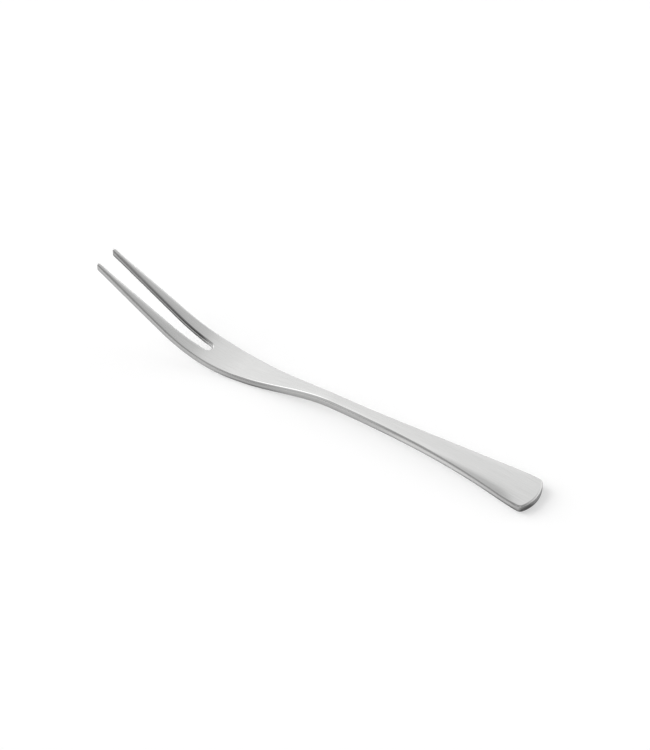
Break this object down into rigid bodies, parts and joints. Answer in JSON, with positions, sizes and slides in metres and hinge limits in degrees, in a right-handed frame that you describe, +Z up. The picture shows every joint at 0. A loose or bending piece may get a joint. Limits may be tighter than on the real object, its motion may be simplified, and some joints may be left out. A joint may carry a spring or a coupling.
{
  "type": "escargot fork",
  "caption": "Slim satin steel fork with a flared flat handle, narrow neck and slotted head whose long tapered tines bend upward to draw snails from their shells.",
  "frame": {"origin": "on the table, under the middle of the fork's length and of its width", "axes": "+X along the fork from the tines to the handle's end, +Y across it, +Z up from the table that it lies on"},
  "size_m": [0.1456, 0.0126, 0.0208],
  "materials": {
    "satin_steel": "satin, with a fine lengthwise grain and polished edges"
  },
  "bodies": {
    "root": {"fork": "satin_steel"}
  },
  "joints": []
}
